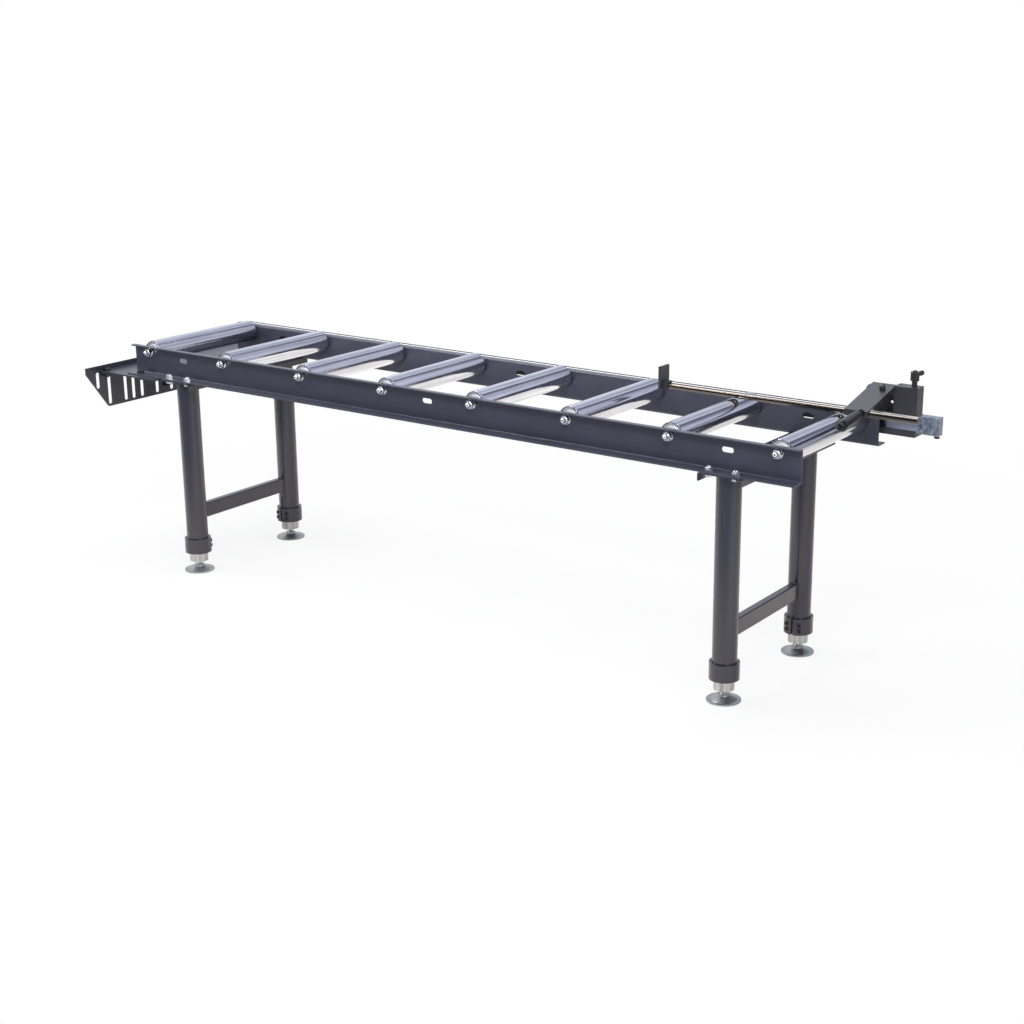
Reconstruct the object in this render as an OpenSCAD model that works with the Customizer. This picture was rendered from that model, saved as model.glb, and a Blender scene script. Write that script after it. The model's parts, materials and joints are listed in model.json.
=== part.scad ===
// Roller outfeed table with a flip-up length stop. Millimetres, +Z up, floor at Z = 0.

/* [Table] */
// Length of the two side rails
rail_length = 2000; // [1900:10:2600]
// Clear width between the rail webs
rail_gap = 376; // [330:1:440]
// Height of the roller tops above the floor, legs pushed in
table_height = 620; // [560:5:800]

/* [Rails] */
// Height of a rail
rail_height = 76; // [70:1:84]
// Sheet thickness of a rail
rail_sheet = 3; // [2:0.5:4]
// Width of the top flange outside the web
top_flange = 15; // [12:1:18]
// Width of the bottom flange outside the web
bottom_flange = 35; // [32:1:40]
// Inside radius of the folds
rail_bend = 2; // [1:0.5:3]
// Height of the roller tops above the rails
roller_rise = 11.5; // [9:0.5:14]
// Length of a round-ended slot in the web
web_slot_length = 30; // [20:1:40]
// Height of a round-ended slot in the web
web_slot_height = 12.5; // [8:0.5:16]
// Depth of the slots below the top of the rail
web_slot_drop = 27.5; // [24:0.5:32]

/* [Rollers] */
// First and last axle from the rails' ends
roller_inset = 55; // [40:1:80]
// Outer diameter of a roller
roller_d = 57; // [50:0.5:60]
// Wall of the roller tube
roller_wall = 3; // [2:0.5:3.5]
// Gap between a roller and each web
roller_end_gap = 8; // [6:0.5:12]
// Diameter of the fixed axle
axle_d = 12; // [10:0.5:12]
// Diameter of the axle shoulder that bears on the web
shoulder_d = 17; // [15:0.5:18]
// Outer diameter of a ball bearing
bearing_d = 32; // [28:0.5:35]
// Width of a ball bearing
bearing_w = 10; // [8:0.5:12]
// Depth of the end cap below the end of the tube
cap_recess = 1.5; // [1:0.5:6]
// Thickness of the end cap
cap_depth = 14; // [12:0.5:16]
// Length of the axle outside the front web
axle_front_end = 20; // [18:0.5:24]
// Length of the axle outside the rear web
axle_rear_end = 14; // [13:0.5:15]

/* [Leg frames] */
// Distance from a rail's end to the middle of the leg frame
frame_inset = 178; // [150:1:230]
// Distance from a web's inner face in to the leg's axis
leg_inset = 8; // [2:1:14]
// Outer diameter of a leg tube
leg_d = 57; // [54:0.5:60]
// Wall of a leg tube
leg_wall = 4; // [3:0.5:4.5]
// Height of the lower end of the leg tubes
leg_foot_z = 53; // [43:1:60]
// Width of the channel across the top of a leg frame
channel_w = 108; // [100:1:120]
// Height of that channel
channel_h = 20; // [16:1:26]
// Sheet thickness of that channel
channel_sheet = 4; // [3:0.5:5]
// Height of the cross tube
cross_h = 40; // [36:1:48]
// Width of the cross tube
cross_w = 20; // [18:1:44]
// Wall of the cross tube
cross_wall = 2.5; // [2:0.5:3.5]
// Corner radius of the cross tube
cross_r = 3; // [3:0.5:6]
// Height of the middle of the cross tube above the floor
cross_z = 163; // [150:1:240]
// Distance from the middle of the frame to each rail bolt
frame_bolt_x = 33; // [30:1:40]

/* [Leg collars and feet] */
// Outer diameter of a clamping collar
collar_d = 70; // [66:0.5:74]
// Height of a clamping collar
collar_h = 40; // [36:1:60]
// Width of the slit in the leg and collar
slit_w = 4; // [2:0.5:4]
// Height of the slit above the collar
slit_rise = 35; // [10:1:44]
// Angle from the slit to each clamping screw
collar_screw_angle = 28; // [25:1:35]
// Diameter of a clamping screw
collar_screw_d = 10; // [6:0.5:10]
// Outer diameter of the telescopic inner leg
inner_leg_d = 48.3; // [45:0.1:48.4]
// Wall of the inner leg
inner_leg_wall = 3; // [2:0.5:4]
// Length of the inner leg
inner_leg_length = 390; // [360:5:450]
// Height of the lower end of the inner leg
inner_leg_z = 28; // [26:0.5:32]
// Thickness of the plug in the end of the inner leg
plug_depth = 14; // [10:0.5:20]
// Diameter of the levelling stud
stud_d = 14; // [12:0.5:16]
// Length of the levelling stud above the plug's lower face
stud_length = 62; // [50:1:70]
// Diameter of the stud's neck above the ball
neck_d = 10; // [8:0.5:10.5]
// Diameter of the ball at the foot of the stud
ball_d = 17; // [16.5:0.5:18]
// Diameter of the foot pad
pad_d = 79; // [70:1:90]
// Height of the foot pad
pad_h = 16; // [15.5:0.5:17]
// Diameter of the boss round the ball
pad_boss_d = 26; // [25:0.5:34]
// Thickness of the rim of the foot pad
pad_rim = 3; // [2:0.5:4]

/* [Saw adapter] */
// Distance from the rail ends to the slotted plate
adapter_reach = 90; // [80:1:140]
// Gap between the base plate and the leg channel
adapter_gap = 4; // [1:1:20]
// Width of the base plate
adapter_w = 484; // [470:1:500]
// Sheet thickness of the base plate
adapter_sheet = 4; // [3:0.5:6]
// Sheet thickness of the slotted plate
slotted_sheet = 3; // [3:0.5:5]
// Width of the slotted plate along its top edge
slotted_top_w = 580; // [560:1:600]
// Width of the slotted plate along its bottom edge
slotted_bottom_w = 440; // [430:1:470]
// Height of the slotted plate below the base plate
slotted_drop = 99; // [95:1:130]
// Height of the slotted plate above the base plate
slotted_lip = 13; // [6:0.5:14]
// Depth of the short vertical edges at the top corners
slotted_cheek = 18; // [14:1:22]
// Radius of the bottom corners
slotted_corner = 10; // [6:1:12]
// Width of a vertical slot
saw_slot_w = 12; // [9:0.5:14]
// Depth of the base flange folded behind the slotted plate
slotted_flange = 34; // [30:1:40]

/* [Length stop guide] */
// Distance from the rear web to the guide bar
guide_offset = 18; // [17:0.5:20]
// Thickness of the guide bar
guide_w = 24; // [22:0.5:26]
// Height of the guide bar
guide_h = 34; // [32:0.5:36]
// Depth of the guide bar's top below the rail's top
guide_drop = 2.5; // [2:0.5:5]
// Length of the guide bar past the rail ends
guide_overhang = 86; // [84:1:110]
// Distance from the guide bar's front face to the dark strip
strip_inset = 12.5; // [10:0.5:13]
// Width of the dark strip in the top of the guide bar
strip_w = 9; // [6:0.5:9]
// Depth of the groove that holds the strip
strip_depth = 3; // [2:0.5:4]
// Depth of the T-groove in the back of the guide bar
groove_depth = 8; // [7:0.5:9]
// Height of the mouth of the T-groove
groove_mouth = 6; // [5:0.5:8]
// Height of the T-groove inside
groove_h = 11; // [9:0.5:13]
// Length of the end block
end_block_l = 50; // [40:1:60]
// Height of the end block
end_block_h = 41; // [38:0.5:44]
// Width of the end block
end_block_w = 22; // [20:0.5:24]

/* [Stop carriage] */
// Width of the clamp box on the carriage
box_w = 57; // [54:1:66]
// Depth of the clamp box
box_d = 34; // [28:0.5:38]
// Height of the clamp box above the guide bar
box_rise = 64; // [58:1:72]
// Sheet thickness of the carriage
box_sheet = 4; // [3:0.5:4]
// Distance from the clamp box to the end block
box_end_gap = 11; // [7:0.5:14]
// Diameter of the clamp screw
clamp_screw_d = 8; // [6:0.5:10]
// Diameter of the clamp lever's hub
lever_hub_d = 20; // [16:0.5:22]
// Reach of the clamp lever
lever_reach = 20; // [16:1:40]

/* [Stop arm] */
// Width of the stop arm
arm_w = 57; // [50:1:60]
// Sheet thickness of the stop arm
arm_sheet = 3; // [3:0.5:4]
// Slope of the stop arm below level
arm_slope = 13; // [12:0.5:14]
// Length of the stop arm's top plate from the hinge
arm_length = 147; // [138:1:150]
// Diameter of the hinge pin
hinge_pin_d = 8; // [6:0.5:10]
// Diameter of the stop rod
rod_d = 14; // [12:0.5:15]
// Length of the stop rod
rod_length = 655; // [620:1:670]
// Length of the stop rod past the right side of the arm
rod_right = 115; // [80:1:120]
// Width of the stop plate
stop_plate_w = 40; // [36:1:50]
// Height of the stop plate above the rod's axis
stop_plate_rise = 47; // [30:1:60]
// Thickness of the stop plate
stop_plate_t = 6; // [5:0.5:8]
// Diameter of the handle grip at its tip
grip_d = 27; // [24:0.5:28]
// Length of the handle grip
grip_length = 162; // [120:1:164]
// Angle of the handle grip away from the arm, to the right
grip_turn = 9; // [0:1:12]

/* [Hidden] */
$fn = 48;
cut = 1;
fit = 0.3;
run = 0.05;
paint = [0.27, 0.27, 0.31];
black = [0.09, 0.09, 0.1];
zinc = [0.76, 0.78, 0.8];
chrome = [0.82, 0.83, 0.86];
alloy = [0.86, 0.87, 0.88];

// Rails, measured from the middle of the table
half_length = rail_length / 2;
web_in = rail_gap / 2;
web_out = web_in + rail_sheet;
rail_top = table_height - roller_rise;
rail_z = rail_top - rail_height;
flange_out = web_out + bottom_flange;
web_slot_z = rail_top - web_slot_drop;
frame_x = half_length - frame_inset;
leg_y = web_in - leg_inset;
axle_z = table_height - roller_d / 2;
roller_half = web_in - roller_end_gap;

// Fasteners: across flats, head and washer
m12_flats = 19;
m12_nut_h = 9;
m12_jam_h = 6;
m12_washer_d = 24;
m12_washer_t = 2.5;
m10_d = 10;
m10_flats = 17;
m10_head_h = 6.5;
m10_nut_h = 8;
m10_end = 3;
m10_y = web_out + bottom_flange * 0.57;

// Saw adapter
adapter_z = rail_z - adapter_sheet;
adapter_x = -half_length - adapter_reach;
adapter_x1 = -frame_x - channel_w / 2 - adapter_gap;
adapter_bolt_share = 0.29;
adapter_bolt_x = -half_length + adapter_bolt_share * (adapter_x1 + half_length);
saw_bolt_edge = m10_flats * 0.75;
saw_bolt_y = adapter_w / 2 - saw_bolt_edge;
saw_bolt_x = adapter_x + saw_bolt_edge;
// Places of the vertical slots as shares of the plate's half width
saw_slot_shares = [-0.866, -0.734, -0.54, -0.443, -0.338, -0.147, 0.036,
  0.228, 0.338, 0.443, 0.54, 0.734, 0.866];

// Length stop guide
guide_y = web_out + guide_offset;
guide_back = guide_y + guide_w;
guide_top = rail_top - guide_drop;
guide_z = guide_top - guide_h;
guide_end = half_length + guide_overhang;
block_drop = 1;
block_front = 2;
block_z = guide_z - block_drop;
block_y = guide_y - block_front;
strip_y = guide_y + strip_inset;
groove_z = guide_z + guide_h / 2;
spacer_l = 44;
spacer_h = 22;
spacer_up = 1;
spacer_z = groove_z - spacer_h / 2 + spacer_up;
// Places of the guide's spacers as shares of half the rail length
spacer_shares = [-0.88, -0.54, -0.27, 0.27, 0.54, 0.88];
spacer_screw_d = 6;
screw_head_d = 10;
screw_head_h = 6;
screw_head_y = guide_back - groove_depth - screw_head_h;
block_screw_foot = 5;
block_screw_in = 16;
block_recess = 2;
block_recess_d = 13;
block_recess_share = 0.72;
block_recess_shares = [0.24, 0.68];
block_screw_d = 8;

// Carriage
box_x1 = guide_end - box_end_gap;
box_x0 = box_x1 - box_w;
wrap_gap = 0.4;
box_setback = 0.5;
box_y = strip_y - box_setback;
box_back = box_y + box_d;
box_bottom = guide_top + wrap_gap;
box_top = guide_top + box_rise;
back_y = guide_back + wrap_gap;
arm_gap = 1;
ear_w = 26;
ear_t = 5;
plate_x0 = box_x0 - arm_w - 2 * arm_gap - ear_t;
plate_rise = 6;
ear_rise = 8;
plate_hole_d = 7;
plate_hole_x = 17;
plate_hole_drop = 45;
top_hole_d = 8;
top_hole_x = 9;
top_hole_y = 2;
wrap_t = 11;
wrap_z = guide_z - wrap_gap - wrap_t;
wrap_lip_h = 2;
wrap_lip_top = guide_z + wrap_lip_h;
wrap_foot = 5;
wrap_lip_t = 3;
wrap_lip_y = guide_y - wrap_gap - wrap_lip_t;
clamp_x_share = 0.719;
clamp_y_share = 0.503;
clamp_x = box_x0 + clamp_x_share * box_w;
clamp_y = box_y + clamp_y_share * box_d;
lever_rise = 14;
lever_z = box_top + lever_rise;
lever_hub_h = 20;
lever_cap_h = 3;
lever_cap_share = 0.45;

// Arm, hinge and rod
arm_x0 = box_x0 - arm_w - arm_gap;
arm_x1 = arm_x0 + arm_w;
hinge_in = 9;
hinge_drop = 13;
hinge_y = box_y + hinge_in;
hinge_z = box_top - hinge_drop;
arm_top_z = box_top - arm_gap;
arm_back = 4;
cheek_wall = 6;
cheek_l = 24;
cheek_low = 4;
cheek_high = 5;
pin_end = 4;
pin_head = 3;
arm_front_y = hinge_y - arm_length * cos(arm_slope);
arm_front_z = arm_top_z - arm_length * sin(arm_slope);
rod_gap = 1;
rod_y = arm_front_y + arm_sheet + rod_d / 2 + rod_gap;
rod_z = table_height + rod_gap + rod_d / 2;
rod_x1 = arm_x1 + rod_right;
rod_x0 = rod_x1 - rod_length;
stop_clear = 1.5;
low_z = table_height + stop_clear;
saddle_wall = 5;
lug_y1 = rod_y + rod_d / 2 + saddle_wall;
saddle_shares = [0.16, 0.86];
saddle_x0 = arm_x0 + saddle_shares[0] * arm_w;
saddle_x1 = arm_x0 + saddle_shares[1] * arm_w;
rod_past_plate = 5;
plate_x = rod_x0 + rod_past_plate;
hub_w = 22;
hub_l = 13;
hub_rise = 11;
grip_x_share = 0.74;
grip_rise = 4;
grip_x = arm_x0 + grip_x_share * arm_w;
grip_z = rod_z + grip_rise;
grip_root = 30;
grip_stem_d = 10;
grip_lift = 1.4;
knob_d = 14;
knob_h = 14.5;
knob_stem_d = 6;
knob_stem_end = 3;
knob_shares = [0.68, 0.21];
knob_x = arm_w * knob_shares[0];
knob_reach = arm_length * knob_shares[1];
grip_collar_h = 4;
grip_hole_play = 1;

x_low = adapter_x - slotted_sheet;
x_high = guide_end + end_block_l;
middle_x = (x_low + x_high) / 2;

// Puts a piece drawn from the middle of the table into the part's own frame
module place() { translate([-middle_x, 0, 0]) children(); }

// A round bar from a point along X, Y or Z
module bar_x(x0, x1, y, z, d) { translate([x0, y, z]) rotate([0, 90, 0]) cylinder(h = x1 - x0, d = d); }
module bar_y(y0, y1, x, z, d) { translate([x, y0, z]) rotate([-90, 0, 0]) cylinder(h = y1 - y0, d = d); }
module bar_z(z0, z1, x, y, d) { translate([x, y, z0]) cylinder(h = z1 - z0, d = d); }

// A hexagon by its size across flats
module hex_z(z0, z1, x, y, flats) {
  translate([x, y, z0]) cylinder(h = z1 - z0, d = flats / cos(30), $fn = 6);
}

// A box between two corners
module block(a, b) { translate(a) cube(b - a); }

// A round-ended slot outline along its first direction
module slot_outline(l, w) {
  square([l - w, w], center = true);
  for (s = [-1, 1]) translate([s * (l - w) / 2, 0]) circle(d = w);
}

// Rail section: web and two flanges folded outwards, drawn in Y and Z
module fold_corner(r, t) {
  difference() {
    intersection() {
      circle(r = r + t);
      square(r + t);
    }
    circle(r = r);
  }
}
module rail_section() {
  r = rail_bend;
  t = rail_sheet;
  translate([0, r + t]) square([t, rail_height - 2 * (r + t)]);
  translate([r + t, 0]) square([bottom_flange - r, t]);
  translate([r + t, rail_height - t]) square([top_flange - r, t]);
  translate([r + t, r + t]) rotate(180) fold_corner(r, t);
  translate([r + t, rail_height - r - t]) rotate(90) fold_corner(r, t);
}
module rail() {
  difference() {
    translate([-half_length, web_in, rail_z]) rotate([90, 0, 90]) linear_extrude(rail_length) rail_section();
    for (i = [1:8]) bar_y(web_in - cut, web_out + cut, roller_x(i), axle_z, axle_d + 2 * fit);
    for (s = [-1, 0, 1]) {
      translate([s * frame_x, web_out + cut, web_slot_z]) rotate([90, 0, 0])
        linear_extrude(rail_sheet + 2 * cut) slot_outline(web_slot_length, web_slot_height);
    }
    for (s = [-1, 1], t = [-1, 1]) {
      bar_z(rail_z - cut, rail_z + rail_sheet + cut, s * frame_x + t * frame_bolt_x, m10_y, m10_d + 2 * fit);
    }
    bar_z(rail_z - cut, rail_z + rail_sheet + cut, adapter_bolt_x, m10_y, m10_d + 2 * fit);
  }
}
module front_rail() { color(paint) place() mirror([0, 1, 0]) rail(); }
module rear_rail() { color(paint) place() rail(); }

// Rollers: tube, pressed-in end caps, bearings and fixed axle
cap_play = 2;
cap_rim = 3;
roller_pitch = (rail_length - 2 * roller_inset) / 7;
function roller_x(i) = (i - 4.5) * roller_pitch;
module roller_tube(i) {
  color(chrome) place() difference() {
    bar_y(-roller_half, roller_half, roller_x(i), axle_z, roller_d);
    bar_y(-roller_half - cut, roller_half + cut, roller_x(i), axle_z, roller_d - 2 * roller_wall);
  }
}
module end_cap() {
  inner_d = roller_d - 2 * roller_wall;
  difference() {
    translate([0, 0, -cap_depth]) cylinder(h = cap_depth, d = inner_d - 2 * run);
    translate([0, 0, -cap_depth - cut]) cylinder(h = cap_depth + cut - cap_lip, d = bearing_d + 2 * run);
    translate([0, 0, -cap_lip - cut]) cylinder(h = cap_lip + 2 * cut, d = shoulder_d + 2 * cap_play);
    translate([0, 0, -cap_lip]) difference() {
      cylinder(h = cap_lip + cut, d = inner_d - 2 * cap_rim);
      translate([0, 0, -cut]) cylinder(h = cap_lip + 3 * cut, d = bearing_d + 2 * cap_play);
    }
  }
}
module roller_caps(i) {
  color(zinc) place() for (s = [-1, 1]) {
    translate([roller_x(i), s * (roller_half - cap_recess), axle_z]) rotate([-90 * s, 0, 0]) end_cap();
  }
}
cap_lip = (cap_depth - bearing_w - 2 * fit) / 2;
bearing_y = roller_half - cap_recess - cap_lip - fit;
module roller_bearings() {
  color(zinc) place() for (i = [1:8], s = [-1, 1]) {
    translate([roller_x(i), s * (bearing_y - bearing_w / 2), axle_z]) rotate([90, 0, 0]) difference() {
      cylinder(h = bearing_w, d = bearing_d, center = true);
      cylinder(h = bearing_w + 2 * cut, d = axle_d + 2 * run, center = true);
    }
  }
}
module roller_axles() {
  color(zinc) place() for (i = [1:8]) {
    bar_y(-web_out - axle_front_end, web_out + axle_rear_end, roller_x(i), axle_z, axle_d);
    for (s = [-1, 1]) {
      scale([1, s, 1]) bar_y(bearing_y, web_in - m12_jam_h, roller_x(i), axle_z, shoulder_d);
    }
  }
}
module axle_nuts() {
  color(zinc) place() for (i = [1:8], s = [-1, 1]) {
    scale([1, s, 1]) translate([roller_x(i), web_out, axle_z]) rotate([-90, 0, 0]) difference() {
      union() {
        cylinder(h = m12_washer_t, d = m12_washer_d);
        hex_z(m12_washer_t, m12_washer_t + m12_nut_h, 0, 0, m12_flats);
        hex_z(-rail_sheet - m12_jam_h, -rail_sheet, 0, 0, m12_flats);
      }
      bar_z(-rail_sheet - m12_jam_h - cut, m12_washer_t + m12_nut_h + cut, 0, 0, axle_d + 2 * run);
    }
  }
}

// Leg frames: channel, two leg tubes and a cross tube
channel_z = rail_z - channel_sheet;
module channel_section() {
  r = rail_bend;
  t = channel_sheet;
  translate([-channel_w / 2 + r + t, -t]) square([channel_w - 2 * (r + t), t]);
  for (s = [-1, 1]) {
    translate([s * (channel_w / 2 - t / 2), -(channel_h + r + t) / 2]) square([t, channel_h - r - t], center = true);
    translate([s * (channel_w / 2 - r - t), -r - t]) scale([s, 1]) fold_corner(r, t);
  }
}
module channel(side) {
  color(paint) place() translate([side * frame_x, 0, 0]) difference() {
    translate([0, flange_out, rail_z]) rotate([90, 0, 0]) linear_extrude(2 * flange_out) channel_section();
    for (s = [-1, 1], t = [-1, 1]) {
      bar_z(channel_z - cut, rail_z + cut, s * frame_bolt_x, t * m10_y, m10_d + 2 * fit);
    }
  }
}
module left_channel() { channel(-1); }
module right_channel() { channel(1); }

// The slit faces the opposite leg
module slit(z0, z1, reach) { block([-slit_w / 2, 0, z0], [slit_w / 2, reach, z1]); }
module legs(side) {
  color(paint) place() for (t = [-1, 1]) {
    translate([side * frame_x, t * leg_y, 0]) scale([1, -t, 1]) difference() {
      bar_z(leg_foot_z, channel_z, 0, 0, leg_d);
      bar_z(leg_foot_z - cut, channel_z + cut, 0, 0, leg_d - 2 * leg_wall);
      slit(leg_foot_z - cut, leg_foot_z + collar_h + slit_rise, leg_d);
    }
  }
}
module left_legs() { legs(-1); }
module right_legs() { legs(1); }
module rounded_square(w, h, r) {
  square([w - 2 * r, h], center = true);
  square([w, h - 2 * r], center = true);
  for (s = [-1, 1], t = [-1, 1]) translate([s * (w / 2 - r), t * (h / 2 - r)]) circle(r = r);
}
module cross_tube(side) {
  reach = leg_y;
  color(paint) place() translate([side * frame_x, 0, cross_z]) difference() {
    rotate([90, 0, 0]) linear_extrude(2 * reach, center = true) rounded_square(cross_w, cross_h, cross_r);
    rotate([90, 0, 0]) linear_extrude(2 * reach + 2 * cut, center = true)
      rounded_square(cross_w - 2 * cross_wall, cross_h - 2 * cross_wall, cross_r - cross_wall);
    for (t = [-1, 1]) bar_z(-cross_h, cross_h, 0, t * reach, leg_d + 2 * run);
  }
}
module left_cross_tube() { cross_tube(-1); }
module right_cross_tube() { cross_tube(1); }
module frame_bolts() {
  seat = rail_z + rail_sheet;
  color(zinc) place() for (s = [-1, 1], t = [-1, 1], u = [-1, 1]) {
    x = s * frame_x + u * frame_bolt_x;
    hex_z(seat, seat + m10_nut_h, x, t * m10_y, m10_flats);
    bar_z(channel_z - cut, seat + m10_nut_h + m10_end, x, t * m10_y, m10_d);
    hex_z(channel_z - m10_head_h, channel_z, x, t * m10_y, m10_flats);
  }
}

// Leg positions: left and right, front and rear
module at_legs() {
  for (s = [-1, 1], t = [-1, 1]) translate([s * frame_x, t * leg_y, 0]) scale([1, -t, 1]) children();
}
module at_leg(s, t) { translate([s * frame_x, t * leg_y, 0]) children(); }
module screw_places() {
  for (a = [-1, 1], k = [0.29, 0.64]) {
    translate([0, 0, leg_foot_z + k * collar_h]) rotate(90 + a * collar_screw_angle) children();
  }
}
collar_screw_out = 3;
module leg_collars() {
  color(paint) place() at_legs() difference() {
    bar_z(leg_foot_z, leg_foot_z + collar_h, 0, 0, collar_d);
    bar_z(leg_foot_z - cut, leg_foot_z + collar_h + cut, 0, 0, leg_d + 2 * run);
    slit(leg_foot_z - cut, leg_foot_z + collar_h + cut, collar_d);
    screw_places() bar_x(0, collar_d, 0, 0, collar_screw_d + 2 * run);
  }
}
module collar_screws() {
  color(black) place() at_legs() screw_places() difference() {
    bar_x(leg_d / 2 + fit, collar_d / 2 + collar_screw_out, 0, 0, collar_screw_d);
    bar_x(collar_d / 2 - cut, collar_d / 2 + collar_screw_out + cut, 0, 0, collar_screw_d / 2);
  }
}

// Telescopic inner leg with its threaded plug, the stud and the pad
module inner_leg(s, t) {
  bore = inner_leg_d - 2 * inner_leg_wall;
  color(zinc) place() at_leg(s, t) difference() {
    bar_z(inner_leg_z, inner_leg_z + inner_leg_length, 0, 0, inner_leg_d);
    bar_z(inner_leg_z + plug_depth, inner_leg_z + inner_leg_length + cut, 0, 0, bore);
    bar_z(inner_leg_z - cut, inner_leg_z + plug_depth + cut, 0, 0, stud_d + 2 * run);
  }
}
ball_z = pad_rim + fit + ball_d / 2;
stud_gap = 2.5;
module stud(s, t) {
  color(zinc) place() at_leg(s, t) {
    translate([0, 0, ball_z]) sphere(d = ball_d);
    bar_z(ball_z, pad_h + stud_gap + cut, 0, 0, neck_d);
    bar_z(pad_h + stud_gap, inner_leg_z + stud_length, 0, 0, stud_d);
  }
}
module foot_pad(s, t) {
  color(zinc) place() at_leg(s, t) difference() {
    union() {
      cylinder(h = pad_rim, d = pad_d);
      translate([0, 0, pad_rim]) cylinder(h = pad_h * 0.55, d1 = pad_d * 0.78, d2 = pad_boss_d);
      cylinder(h = pad_h, d = pad_boss_d);
    }
    translate([0, 0, ball_z]) sphere(d = ball_d + 2 * fit);
    bar_z(ball_z, pad_h + cut, 0, 0, ball_d * 0.88);
  }
}
module inner_leg_lf() { inner_leg(-1, -1); }
module inner_leg_lr() { inner_leg(-1, 1); }
module inner_leg_rf() { inner_leg(1, -1); }
module inner_leg_rr() { inner_leg(1, 1); }
module stud_lf() { stud(-1, -1); }
module stud_lr() { stud(-1, 1); }
module stud_rf() { stud(1, -1); }
module stud_rr() { stud(1, 1); }
module foot_pad_lf() { foot_pad(-1, -1); }
module foot_pad_lr() { foot_pad(-1, 1); }
module foot_pad_rf() { foot_pad(1, -1); }
module foot_pad_rr() { foot_pad(1, 1); }

// Saw adapter: base plate under the rails and a slotted plate with its folded flange
module adapter_plate() {
  color(paint) place() difference() {
    block([adapter_x, -adapter_w / 2, adapter_z], [adapter_x1, adapter_w / 2, rail_z]);
    for (t = [-1, 1]) {
      bar_z(adapter_z - cut, rail_z + cut, adapter_bolt_x, t * m10_y, m10_d + 2 * fit);
      bar_z(adapter_z - cut, rail_z + cut, saw_bolt_x, t * saw_bolt_y, m10_d + 2 * fit);
    }
  }
}
module slotted_outline() {
  top = slotted_lip + adapter_sheet;
  edge = (slotted_top_w - slotted_bottom_w) / 2;
  slope = atan2(edge, slotted_drop - slotted_cheek);
  inset = slotted_corner * tan(45 - slope / 2);
  difference() {
    union() {
      polygon([[-slotted_top_w / 2, top], [slotted_top_w / 2, top], [slotted_top_w / 2, -slotted_cheek + top],
        [slotted_bottom_w / 2 + inset * sin(slope), -slotted_drop + inset * cos(slope)],
        [slotted_bottom_w / 2 - inset, -slotted_drop], [-slotted_bottom_w / 2 + inset, -slotted_drop],
        [-slotted_bottom_w / 2 - inset * sin(slope), -slotted_drop + inset * cos(slope)],
        [-slotted_top_w / 2, -slotted_cheek + top]]);
      for (t = [-1, 1]) translate([t * (slotted_bottom_w / 2 - inset), -slotted_drop + slotted_corner])
        circle(r = slotted_corner);
    }
    for (k = saw_slot_shares) {
      outer = abs(k) > 0.8;
      low = outer ? -slotted_drop * 0.45 : -slotted_drop + slotted_corner * 0.6;
      high = outer ? 0 : -saw_slot_w * 0.8;
      translate([k * slotted_top_w / 2, (low + high) / 2]) rotate(90) slot_outline(high - low, saw_slot_w);
    }
  }
}
module slotted_plate() {
  color(paint) place() difference() {
    union() {
      translate([adapter_x, 0, adapter_z]) rotate([90, 0, 90]) translate([0, 0, -slotted_sheet])
        linear_extrude(slotted_sheet) slotted_outline();
      block([adapter_x - cut, -adapter_w / 2, adapter_z - slotted_sheet],
        [adapter_x + slotted_flange, -adapter_w / 2 + slotted_flange, adapter_z]);
      block([adapter_x - cut, adapter_w / 2 - slotted_flange, adapter_z - slotted_sheet],
        [adapter_x + slotted_flange, adapter_w / 2, adapter_z]);
    }
    for (t = [-1, 1]) {
      bar_z(adapter_z - slotted_sheet - cut, adapter_z + cut, saw_bolt_x, t * saw_bolt_y, m10_d + 2 * fit);
    }
  }
}
module adapter_bolt(x, y, seat, under) {
  hex_z(seat, seat + m10_head_h, x, y, m10_flats);
  bar_z(under - m10_nut_h - m10_end, seat + cut, x, y, m10_d);
  hex_z(under - m10_nut_h, under, x, y, m10_flats);
}
module adapter_bolts() {
  color(black) place() for (t = [-1, 1]) {
    adapter_bolt(adapter_bolt_x, t * m10_y, rail_z + rail_sheet, adapter_z);
    adapter_bolt(saw_bolt_x, t * saw_bolt_y, rail_z, adapter_z - slotted_sheet);
  }
}

// Length stop guide along the rear rail
module guide_bar() {
  neck = groove_depth / 2;
  color(alloy) place() difference() {
    block([-half_length, guide_y, guide_z], [guide_end, guide_back, guide_top]);
    block([-half_length - cut, guide_back - neck, groove_z - groove_mouth / 2],
      [guide_end + cut, guide_back + cut, groove_z + groove_mouth / 2]);
    block([-half_length - cut, guide_back - groove_depth, groove_z - groove_h / 2],
      [guide_end + cut, guide_back - neck, groove_z + groove_h / 2]);
    block([-half_length - cut, strip_y, guide_top - strip_depth],
      [guide_end + cut, strip_y + strip_w, guide_top + cut]);
    spacer_places() {
      bar_y(guide_y - cut, guide_back, 0, groove_z, spacer_screw_d + 2 * run);
      bar_y(screw_head_y, guide_back, 0, groove_z, screw_head_d + 2 * run);
    }
  }
}
module spacer_places() {
  for (k = spacer_shares, s = [-1, 1]) translate([k * half_length + s * spacer_l / 4, 0, 0]) children();
}
module guide_strip() {
  color(black) place() block([-half_length, strip_y, guide_top - strip_depth],
    [guide_end, strip_y + strip_w, guide_top]);
}
module guide_spacers() {
  color(paint) place() difference() {
    for (k = spacer_shares) {
      block([k * half_length - spacer_l / 2, web_out, spacer_z],
        [k * half_length + spacer_l / 2, guide_y, spacer_z + spacer_h]);
    }
    spacer_places() bar_y(guide_y - guide_offset * 0.7, guide_y + cut, 0, groove_z, spacer_screw_d + 2 * run);
  }
}
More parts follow.
